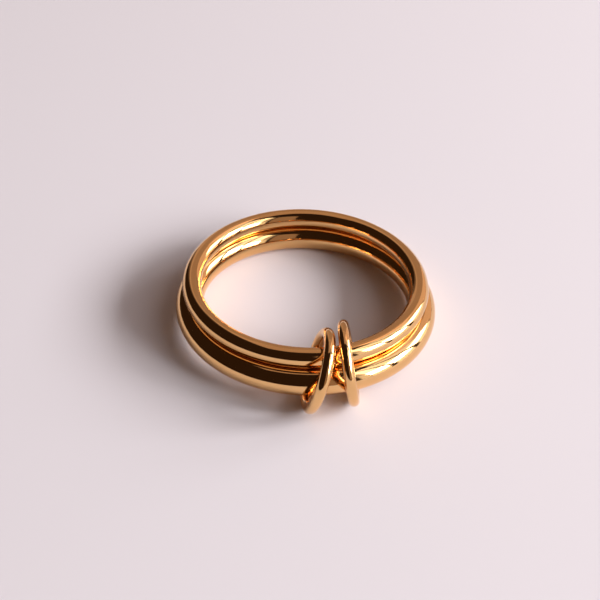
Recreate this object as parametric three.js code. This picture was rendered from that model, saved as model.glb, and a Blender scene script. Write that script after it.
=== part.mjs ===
// Double ring: two plain round-wire bands lying one on the other, held together at the front by two
// loose round-wire links that go round both. Millimetres, +Z up, front towards -Y. It rests on its
// back edge and on the feet of the links, so its front is lifted a little.
import * as THREE from 'three';

// Bands
const UPPER_INSIDE = 17.3;     // inside diameter of the upper band, the ring size
const UPPER_WIRE = 1.58;       // wire diameter of the upper band
const LOWER_INSIDE = 17.22;    // inside diameter of the lower band
const LOWER_WIRE = 2.27;       // wire diameter of the lower band
const LOWER_FORWARD = 0.28;    // how far the lower band has slipped towards the front
const LOWER_ASIDE = 0.08;      // and to the right
const BAND_GAP = 0.05;         // air between the two bands where they come closest

// Links
const LINK_WIRE = 0.9;
const LINK_PLAY = 1.13;        // how much wider a link is than the two bands that it holds
const LINK_GAP = 0.06;         // air between a link and the band that lies on it

// Facets
const BAND_SIDES = 16;
const BAND_STEPS = 96;
const LINK_SIDES = 12;
const LINK_STEPS = 48;

// Search for the seats and the resting tilt
const HALVINGS = 50;           // how many steps a search takes
const TRIAL_POINTS = 720;      // points round a wire at which its distance from a band is measured
const STEEPEST = 30;           // the resting tilt is looked for up to this many degrees

// Each link: along is how many degrees round the lower band it stands, to the right of the front, out
// is how far its middle lies outside the lower wire's, as a share of the play, turn is about the
// vertical in degrees, and lean tips its top to the left.
const LINKS = [
  { name: 'left_link', along: 6.8, out: 0.08, turn: 1.6, lean: -15.3 },
  { name: 'right_link', along: 21.1, out: -0.22, turn: 3.9, lean: 10.5 },
];

const GOLD = { color: 0xd9a45f, metalness: 1, roughness: 0.16 };

const rad = THREE.MathUtils.degToRad;
const UP = new THREE.Vector3(0, 0, 1);

const upper = {
  name: 'upper_band',
  centre: new THREE.Vector3(0, 0, 0),
  axis: UP.clone(),
  radius: (UPPER_INSIDE + UPPER_WIRE) / 2,
  wire: UPPER_WIRE / 2,
};
const lower = {
  name: 'lower_band',
  centre: new THREE.Vector3(LOWER_ASIDE, -LOWER_FORWARD, 0),
  axis: UP,
  radius: (LOWER_INSIDE + LOWER_WIRE) / 2,
  wire: LOWER_WIRE / 2,
};

function linkAxis({ turn, lean }) {
  return new THREE.Vector3(1, 0, 0).applyEuler(new THREE.Euler(0, -rad(lean), rad(turn), 'ZYX'));
}

function pointsOn(ring) {
  const turnTo = new THREE.Quaternion().setFromUnitVectors(UP, ring.axis);
  return Array.from({ length: TRIAL_POINTS }, (_, i) => {
    const a = (i / TRIAL_POINTS) * 2 * Math.PI;
    return new THREE.Vector3(Math.cos(a) * ring.radius, Math.sin(a) * ring.radius, 0)
      .applyQuaternion(turnTo).add(ring.centre);
  });
}

// Shortest way from the middle of a ring's wire to the middle of the lower band's wire
function fromLower(ring) {
  return Math.min(...pointsOn(ring).map((p) => {
    const fromAxis = Math.hypot(p.x - lower.centre.x, p.y - lower.centre.y);
    return Math.hypot(fromAxis - lower.radius, p.z - lower.centre.z);
  }));
}

// The upper band lies on the lower one all round. The lower one has slipped from under it, so the
// upper one dips a little on the side that it has slipped to.
const slip = new THREE.Vector3(LOWER_ASIDE, -LOWER_FORWARD, 0);
const wider = lower.radius - upper.radius;
const apart = upper.wire + lower.wire + BAND_GAP;
const leastDrop = Math.sqrt(apart ** 2 - (wider + slip.length()) ** 2);
const mostDrop = Math.sqrt(apart ** 2 - (wider - slip.length()) ** 2);
const dip = Math.asin((mostDrop - leastDrop) / 2 / upper.radius);
upper.axis.applyAxisAngle(new THREE.Vector3().crossVectors(UP, slip).normalize(), dip);
lower.centre.z = -(mostDrop + leastDrop) / 2;
for (let i = 0; i < HALVINGS; i += 1) lower.centre.z -= apart - fromLower(upper);

// The two bands measured across, from the top of one to the foot of the other
const across = upper.wire + apart + lower.wire;
const linkRadius = (across + LINK_PLAY + LINK_WIRE) / 2;

// A link is lifted until the lower band lies on the inside of its foot.
function seatLink(row) {
  const link = {
    name: row.name,
    centre: new THREE.Vector3(
      lower.centre.x + lower.radius * Math.sin(rad(row.along)),
      lower.centre.y - lower.radius * Math.cos(rad(row.along)) - row.out * LINK_PLAY,
      0,
    ),
    axis: linkAxis(row),
    radius: linkRadius,
    wire: LINK_WIRE / 2,
  };
  const clear = lower.wire + link.wire + LINK_GAP;
  let low = lower.centre.z;
  let high = lower.centre.z + linkRadius;
  for (let i = 0; i < HALVINGS; i += 1) {
    link.centre.z = (low + high) / 2;
    if (fromLower(link) > clear) low = link.centre.z;
    else high = link.centre.z;
  }
  link.centre.z = low;
  return link;
}
const links = LINKS.map(seatLink);

// How high a ring's lowest point stands above a floor whose normal is given
function heightOver(normal, ring) {
  const along = ring.axis.dot(normal);
  return ring.centre.dot(normal) - ring.radius * Math.sqrt(1 - along * along) - ring.wire;
}

function floorNormal(tilt) {
  return new THREE.Vector3(0, -Math.sin(tilt), Math.cos(tilt));
}

// The resting tilt: the back of the lower band and the lower of the two feet touch the same floor.
function restingTilt() {
  let low = 0;
  let high = rad(STEEPEST);
  for (let i = 0; i < HALVINGS; i += 1) {
    const normal = floorNormal((low + high) / 2);
    const feet = Math.min(...links.map((link) => heightOver(normal, link)));
    if (feet < heightOver(normal, lower)) low = (low + high) / 2;
    else high = (low + high) / 2;
  }
  return (low + high) / 2;
}

// A link whose foot is still in the air drops onto the floor, because nothing holds it up.
const tilt = restingTilt();
const normal = floorNormal(tilt);
for (const link of links) {
  const drop = heightOver(normal, link) - heightOver(normal, lower);
  link.centre.addScaledVector(normal, -Math.max(0, drop));
}

// The first facet of a ring is turned to its back, or to its foot where it stands on one.
function ringMesh(ring, sides, steps, look) {
  const geometry = new THREE.TorusGeometry(ring.radius, ring.wire, sides, steps);
  const mesh = new THREE.Mesh(geometry, new THREE.MeshStandardMaterial(look));
  mesh.name = ring.name;
  mesh.position.copy(ring.centre);
  const first = normal.clone().negate().addScaledVector(ring.axis, normal.dot(ring.axis)).normalize();
  const second = new THREE.Vector3().crossVectors(ring.axis, first);
  mesh.quaternion.setFromRotationMatrix(new THREE.Matrix4().makeBasis(first, second, ring.axis));
  return mesh;
}

const tilted = new THREE.Group();
tilted.add(ringMesh(upper, BAND_SIDES, BAND_STEPS, GOLD));
tilted.add(ringMesh(lower, BAND_SIDES, BAND_STEPS, GOLD));
for (const link of links) tilted.add(ringMesh(link, LINK_SIDES, LINK_STEPS, GOLD));
tilted.rotation.x = -tilt;
tilted.updateMatrixWorld(true);

// Stand it on z = 0 with the middle of its box over the origin
const box = new THREE.Box3().setFromObject(tilted, true);
const part = new THREE.Group();
tilted.position.set(-(box.min.x + box.max.x) / 2, -(box.min.y + box.max.y) / 2, -box.min.z);
part.add(tilted);
part.updateMatrixWorld(true);

export default part;
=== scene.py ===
"""A double finger ring of polished gold-coloured wire: two round bands, one lying on the other, and the
two loose links that hold them together at the front. Metres, +Z up, front towards -Y."""

import math

import bpy
from mathutils import Matrix, Quaternion, Vector


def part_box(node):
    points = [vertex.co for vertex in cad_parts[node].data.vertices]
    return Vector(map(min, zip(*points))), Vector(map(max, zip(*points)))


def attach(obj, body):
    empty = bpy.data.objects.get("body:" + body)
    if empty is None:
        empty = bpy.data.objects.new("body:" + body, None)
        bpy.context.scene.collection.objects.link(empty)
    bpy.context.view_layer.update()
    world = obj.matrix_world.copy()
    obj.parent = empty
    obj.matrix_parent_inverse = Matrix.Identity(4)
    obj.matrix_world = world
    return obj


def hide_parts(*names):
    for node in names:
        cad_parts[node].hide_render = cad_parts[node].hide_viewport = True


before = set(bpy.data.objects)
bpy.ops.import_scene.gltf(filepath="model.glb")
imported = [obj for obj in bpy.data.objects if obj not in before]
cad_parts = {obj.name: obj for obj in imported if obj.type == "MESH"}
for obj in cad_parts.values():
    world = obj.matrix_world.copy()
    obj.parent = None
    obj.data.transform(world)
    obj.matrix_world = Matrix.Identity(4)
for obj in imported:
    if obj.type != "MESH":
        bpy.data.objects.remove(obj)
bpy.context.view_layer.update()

MM = 0.001

# Fineness of the round wires
WIRE_SIDES = 64
BAND_STEPS = 320
LINK_STEPS = 192
MERGE = 0.001 * MM

# Unevenness left by polishing
WAVE_HEIGHT = 0.005 * MM
WAVE_SPACING = 2.2 * MM
WAVE_OCTAVES = 1

# Gold plating, linear colours. Its tint, its faint smears and its polishing lines each have a spacing
# and a number of finer octaves.
GOLD_BRIGHT = (0.88, 0.55, 0.25)
GOLD_DEEP = (0.80, 0.46, 0.18)
ROUGHNESS = 0.06
SMEAR_ROUGHNESS = 0.07
TINT_SPACING = 2.5 * MM
TINT_OCTAVES = 2.0
SMEAR_SPACING = 0.45 * MM
SMEAR_OCTAVES = 4.0
LINE_SPACING = 0.028 * MM
LINE_OCTAVES = 3.0
LINE_LENGTH = 1.5 * MM
LINE_DEPTH = 0.00035 * MM

# Camera: it looks down from the front at a point beside the middle of the upper band
CAMERA_HEIGHT_ANGLE = 40.44
CAMERA_DISTANCE = 94.5 * MM
CAMERA_ROLL = 2.29
AIM_ASIDE = -0.410 * MM
AIM_UP = -1.502 * MM
LENS_MM = 68.05
SENSOR_MM = 36.0

# Floor and room
FLOOR_SIDE = 1.6
FLOOR_COLOUR = (0.74, 0.70, 0.735)
FLOOR_ROUGHNESS = 0.9
FLOOR_SHINE = 0.2
ROOM_COLOUR = (0.026, 0.014, 0.008)

# Light, from flat panels in planes that face the ring from PANEL_DISTANCE away. The way a plane faces
# is given by degrees round the ring, where +X is 0 and +Y is 90, and up from the floor. A panel's sides,
# foot and top are degrees from the middle of its plane, seen from the ring.
PANEL_DISTANCE = 0.55
WINDOW_FACES = (0.0, 0.0)
WINDOW_COLOUR = (1.0, 0.985, 1.0)
WINDOW_COLUMNS = [(-44.0, -35.5), (-35.0, -16.5), (-11.0, 9.5), (15.5, 36.0)]

# The window's rows of panes: foot and top, and the brightness of each pane from left to right
WINDOW_ROWS = [
    ((1.0, 18.0), (1.0, 1.5, 1.5, 1.5)),
    ((18.0, 37.0), (0.9, 21.5, 25.5, 7.5)),
    ((37.0, 65.0), (0.6, 2.6, 1.6, 1.1)),
]

# Dimmer, warmer light that the room gives back: name, the way the panel faces, its sides, its foot and
# top, and its brightness
WALL_COLOUR = (1.0, 0.72, 0.60)
WALLS = [
    ("side_wall", (48.0, 0.0), (-11.0, 14.0), (1.0, 42.0), 0.75),
    ("side_curtain", (48.0, 0.0), (-11.0, 14.0), (42.0, 64.0), 1.05),
    ("back_wall", (90.0, 0.0), (-27.0, 25.0), (1.0, 46.0), 0.36),
    ("ceiling", (90.0, 62.0), (-19.0, 15.0), (-17.0, 23.0), 0.44),
    ("front_wall", (-62.0, 0.0), (-14.0, 14.0), (1.0, 56.0), 0.3),
    ("corner", (112.0, 0.0), (-8.0, 10.0), (1.0, 60.0), 0.12),
]


class Socket:
    """The output of a shader node. An expression on it adds the Math nodes that work it out."""

    def __init__(self, maker, output):
        self.maker = maker
        self.output = output

    def maths(self, operation, first, second):
        return self.maker.add("ShaderNodeMath", {"operation": operation}, {0: first, 1: second})

    def __add__(self, other):
        return self.maths("ADD", self, other)

    __radd__ = __add__

    def __sub__(self, other):
        return self.maths("SUBTRACT", self, other)

    def __rsub__(self, other):
        return self.maths("SUBTRACT", other, self)

    def __mul__(self, other):
        return self.maths("MULTIPLY", self, other)

    __rmul__ = __mul__

    def __truediv__(self, other):
        return self.maths("DIVIDE", self, other)


class NodeMaker:
    """Adds nodes to one material."""

    def __init__(self, name):
        self.material = bpy.data.materials.new(name)
        self.material.use_nodes = True
        self.tree = self.material.node_tree
        self.tree.nodes.clear()

    def add(self, kind, settings=None, sockets=None, output=0):
        node = self.tree.nodes.new(kind)
        for setting, value in (settings or {}).items():
            setattr(node, setting, value)
        for socket, value in (sockets or {}).items():
            if isinstance(value, Socket):
                self.tree.links.new(value.output, node.inputs[socket])
            else:
                node.inputs[socket].default_value = value
        return Socket(self, node.outputs[output] if node.outputs else None)

    def vector(self, operation, sockets, output=0):
        return self.add("ShaderNodeVectorMath", {"operation": operation}, sockets, output)


class Ring:
    """The true ring under a CAD node's facets, whose vertices all lie on it."""

    def __init__(self, node):
        low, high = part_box(node)
        self.centre = (low + high) / 2
        points = [vertex.co - self.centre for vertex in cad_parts[node].data.vertices]
        outer = max(point.length for point in points)
        inner = min(point.length for point in points)
        self.radius = (outer + inner) / 2
        self.wire = (outer - inner) / 2
        rim = [point for point in points if point.length > outer - MERGE]
        self.out = rim[0].normalized()
        quarter = min(rim, key=lambda point: abs(point.dot(self.out)))
        self.axis = self.out.cross(quarter).normalized()


def spun_wire(name, ring, steps):
    """A round section, spun all the way round the ring's axis."""
    bpy.ops.object.select_all(action="DESELECT")
    section = Matrix((ring.out, ring.axis, ring.out.cross(ring.axis))).transposed()
    bpy.ops.mesh.primitive_circle_add(
        vertices=WIRE_SIDES,
        radius=ring.wire,
        calc_uvs=False,
        location=ring.centre + ring.out * ring.radius,
        rotation=section.to_euler(),
    )
    piece = bpy.context.active_object
    piece.name = piece.data.name = name
    bpy.ops.object.mode_set(mode="EDIT")
    bpy.ops.mesh.select_all(action="SELECT")
    bpy.ops.mesh.spin(steps=steps, angle=math.tau, center=ring.centre, axis=ring.axis)
    bpy.ops.mesh.select_all(action="SELECT")
    bpy.ops.mesh.remove_doubles(threshold=MERGE)
    bpy.ops.mesh.normals_make_consistent(inside=False)
    bpy.ops.object.mode_set(mode="OBJECT")
    bpy.ops.object.transform_apply(location=True, rotation=True, scale=True)
    bpy.ops.object.shade_smooth()
    return piece


def hand_polish(piece):
    """Leaves the surface very slightly wavy, as polishing by hand does."""
    waves = bpy.data.textures.new("polishing_waves", "CLOUDS")
    waves.noise_scale = WAVE_SPACING
    waves.noise_depth = WAVE_OCTAVES
    bend = piece.modifiers.new("waves", "DISPLACE")
    bend.texture = waves
    bend.texture_coords = "LOCAL"
    bend.strength = WAVE_HEIGHT
    bpy.ops.object.modifier_apply(modifier=bend.name)


def gold_plating(name, ring):
    """Polished gold plating. Faint polishing lines run along the wire, round the ring's axis."""
    make = NodeMaker(name)
    place = make.add("ShaderNodeTexCoord", output="Object")
    place = make.vector("SUBTRACT", {0: place, 1: ring.centre})
    height = make.vector("DOT_PRODUCT", {0: place, 1: ring.axis}, "Value")
    along_axis = make.vector("SCALE", {0: ring.axis, "Scale": height})
    reach = make.vector("LENGTH", {0: make.vector("SUBTRACT", {0: place, 1: along_axis})}, "Value")

    across = make.add("ShaderNodeCombineXYZ", None, {0: reach / LINE_SPACING, 1: height / LINE_SPACING})
    along = make.vector("SCALE", {0: place, "Scale": 1 / LINE_LENGTH})
    lines = make.add(
        "ShaderNodeTexNoise",
        None,
        {"Vector": make.vector("ADD", {0: across, 1: along}), "Scale": 1.0, "Detail": LINE_OCTAVES},
    )
    smears = make.add(
        "ShaderNodeTexNoise",
        None,
        {"Vector": place, "Scale": 1 / SMEAR_SPACING, "Detail": SMEAR_OCTAVES},
    )
    tint = make.add(
        "ShaderNodeTexNoise",
        None,
        {"Vector": place, "Scale": 1 / TINT_SPACING, "Detail": TINT_OCTAVES},
    )
    colour = make.add(
        "ShaderNodeMix",
        {"data_type": "RGBA"},
        {"Factor": tint, "A": (*GOLD_BRIGHT, 1.0), "B": (*GOLD_DEEP, 1.0)},
        "Result",
    )
    bump = make.add("ShaderNodeBump", None, {"Distance": LINE_DEPTH, "Height": lines})
    shader = make.add(
        "ShaderNodeBsdfPrincipled",
        None,
        {
            "Base Color": colour,
            "Metallic": 1.0,
            "Roughness": ROUGHNESS + SMEAR_ROUGHNESS * smears * lines,
            "Normal": bump,
        },
    )
    make.add("ShaderNodeOutputMaterial", None, {"Surface": shader})
    return make.material


def dress(node, steps):
    """Puts the fine wire of a band or link in the place of its CAD node."""
    ring = Ring(node)
    piece = spun_wire(node + "_wire", ring, steps)
    hand_polish(piece)
    piece.data.materials.append(gold_plating(node + "_gold", ring))
    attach(piece, "root")
    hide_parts(node)
    return ring


def towards(round_angle, height_angle):
    """The direction at these angles, seen from the ring."""
    turn, rise = math.radians(round_angle), math.radians(height_angle)
    return Vector((math.cos(turn) * math.cos(rise), math.sin(turn) * math.cos(rise), math.sin(rise)))


def light_panel(name, middle, faces, sides, heights, glow, colour):
    """A soft light panel that faces the ring's middle, or stands beside the place that does."""
    left, right = (PANEL_DISTANCE * math.tan(math.radians(angle)) for angle in sides)
    foot, top = (PANEL_DISTANCE * math.tan(math.radians(angle)) for angle in heights)
    panel = bpy.data.lights.new(name, "AREA")
    panel.shape = "RECTANGLE"
    panel.size = right - left
    panel.size_y = top - foot
    panel.energy = glow * math.pi * panel.size * panel.size_y
    panel.color = colour
    light = bpy.data.objects.new(name, panel)
    back = towards(*faces)
    turn = back.to_track_quat("Z", "Y")
    aside = turn @ Vector(((left + right) / 2, (foot + top) / 2, PANEL_DISTANCE))
    light.location = middle + aside
    light.rotation_euler = turn.to_euler()
    bpy.context.scene.collection.objects.link(light)


def window_light(middle):
    """A tall window on the right, brightest in its middle row, with dark bars between its panes."""
    for row, (heights, glows) in enumerate(WINDOW_ROWS, 1):
        for column, (sides, glow) in enumerate(zip(WINDOW_COLUMNS, glows), 1):
            name = f"pane_{row}_{column}"
            light_panel(name, middle, WINDOW_FACES, sides, heights, glow, WINDOW_COLOUR)


def wall_light(middle):
    for name, faces, sides, heights, glow in WALLS:
        light_panel(name, middle, faces, sides, heights, glow, WALL_COLOUR)


def dim_room():
    world = bpy.data.worlds.new("room")
    world.use_nodes = True
    world.node_tree.nodes["Background"].inputs["Color"].default_value = (*ROOM_COLOUR, 1.0)
    bpy.context.scene.world = world


def pale_floor():
    bpy.ops.object.select_all(action="DESELECT")
    bpy.ops.mesh.primitive_plane_add(size=FLOOR_SIDE, location=(0, 0, 0))
    floor = bpy.context.active_object
    floor.name = "floor"
    make = NodeMaker("pale_floor")
    shader = make.add(
        "ShaderNodeBsdfPrincipled",
        None,
        {
            "Base Color": (*FLOOR_COLOUR, 1.0),
            "Roughness": FLOOR_ROUGHNESS,
            "Specular IOR Level": FLOOR_SHINE,
        },
    )
    make.add("ShaderNodeOutputMaterial", None, {"Surface": shader})
    floor.data.materials.append(make.material)


def photo_camera(middle):
    rise = math.radians(CAMERA_HEIGHT_ANGLE)
    back = Vector((0, -math.cos(rise), math.sin(rise)))
    up = Vector((0, math.sin(rise), math.cos(rise)))
    data = bpy.data.cameras.new("camera")
    data.lens = LENS_MM
    data.sensor_width = SENSOR_MM
    data.clip_start = MM
    camera = bpy.data.objects.new("camera", data)
    camera.location = middle + back * CAMERA_DISTANCE
    aim = middle + Vector((AIM_ASIDE, 0, 0)) + up * AIM_UP
    look = (aim - camera.location).to_track_quat("-Z", "Y")
    roll = Quaternion((0, 0, 1), math.radians(CAMERA_ROLL))
    camera.rotation_euler = (look @ roll).to_euler()
    bpy.context.scene.collection.objects.link(camera)
    bpy.context.scene.camera = camera


upper = dress("upper_band", BAND_STEPS)
dress("lower_band", BAND_STEPS)
dress("left_link", LINK_STEPS)
dress("right_link", LINK_STEPS)

pale_floor()
dim_room()
window_light(upper.centre)
wall_light(upper.centre)
photo_camera(upper.centre)
bpy.context.scene.view_settings.view_transform = "Standard"
